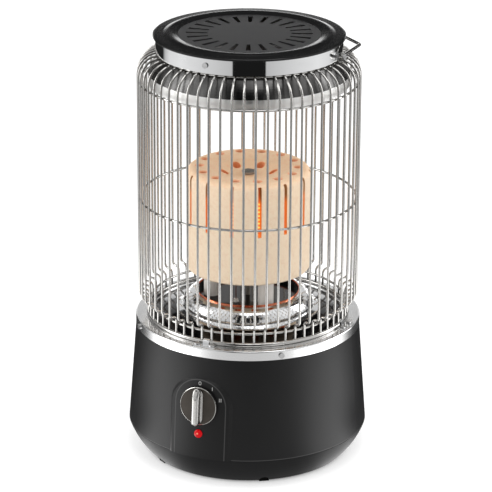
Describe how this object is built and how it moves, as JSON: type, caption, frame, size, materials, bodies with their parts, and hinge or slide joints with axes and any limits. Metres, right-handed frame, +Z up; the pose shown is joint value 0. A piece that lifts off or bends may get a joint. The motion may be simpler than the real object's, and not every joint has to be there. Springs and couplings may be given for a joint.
{
  "type": "ceramic heater",
  "caption": "Round free-standing radiant heater: a ceramic block with glowing coils in a wire guard, chrome reflectors, black base with rotary switch, slotted top and wire bail.",
  "frame": {"origin": "on the floor under the middle of the base", "axes": "+Z up, the control panel faces -Y, the bail pivots lie along X"},
  "size_m": [0.3086, 0.3314, 0.5561],
  "materials": {
    "rubber_black": "matt",
    "satin_black": "satin",
    "panel_black": "satin",
    "switch_plastic": "matt",
    "knob_bronze": "satin dark bronze",
    "knob_silver": "satin",
    "red_lens": "glossy, lit",
    "lamp_white": "matt",
    "zinc_steel": "zinc plated",
    "chrome": "polished",
    "guard_steel": "bright plated",
    "ceramic_cream": "unglazed, matt",
    "ceramic_white": "semi-gloss",
    "coil_glow": "glowing hot wire",
    "enamel_black": "satin enamel"
  },
  "bodies": {
    "base": {"rubber_feet": "rubber_black", "bottom_cover": "satin_black", "base_shell": "satin_black", "cord_gland": "satin_black", "control_panel": "panel_black", "rotary_switch": "switch_plastic", "tip_switch": "switch_plastic", "terminal_block": "switch_plastic", "pilot_lens": "red_lens", "pilot_holder": "lamp_white", "bottom_screws": "zinc_steel", "tip_spring": "zinc_steel", "thermal_cutout": "zinc_steel", "heat_shield": "zinc_steel", "shield_screws": "zinc_steel", "element_pedestal": "zinc_steel", "tie_rod": "zinc_steel", "tie_washer": "zinc_steel", "tie_nuts": "zinc_steel", "plate_carrier": "zinc_steel", "carrier_screws": "zinc_steel", "rim_screws": "zinc_steel", "clip_screws": "zinc_steel", "band_screws": "zinc_steel", "handle_pivots": "zinc_steel", "heater_cup": "chrome", "reflector_pan": "chrome", "base_rim": "chrome", "upper_reflector": "chrome", "top_band": "chrome", "guard_clips": "chrome", "guard_bottom_ring": "guard_steel", "guard_wires": "guard_steel", "guard_hoop_lower": "guard_steel", "guard_hoop_middle": "guard_steel", "guard_hoop_upper": "guard_steel", "guard_top_ring": "guard_steel", "ceramic_block": "ceramic_cream", "lead_bushes": "ceramic_white", "insulator_posts": "ceramic_white", "heating_coil_outer": "coil_glow", "heating_coil_inner": "coil_glow", "top_plate": "enamel_black"},
    "knob": {"switch_spindle": "zinc_steel", "knob_disc": "knob_bronze", "knob_grip": "knob_silver"},
    "handle": {"bail_handle": "guard_steel"},
    "plunger": {"tip_plunger": "switch_plastic"}
  },
  "joints": [
    {"name": "knob_turn", "type": "hinge", "parent": "base", "child": "knob", "pos_m": [0, -0.14902, 0.1085], "axis": [0, 0.9972, -0.0753], "range_deg": [0, 74]},
    {"name": "handle_swing", "type": "hinge", "parent": "base", "child": "handle", "pos_m": [0, 0, 0.538], "axis": [1, 0, 0], "range_deg": [-3, 183]},
    {"name": "tip_plunger_slide", "type": "slide", "parent": "base", "child": "plunger", "axis": [0, 0, 1], "range_m": [-0.006, 0], "stiffness_N_per_m": 30, "springref_m": -0.008, "deforming": ["tip_spring"]}
  ]
}
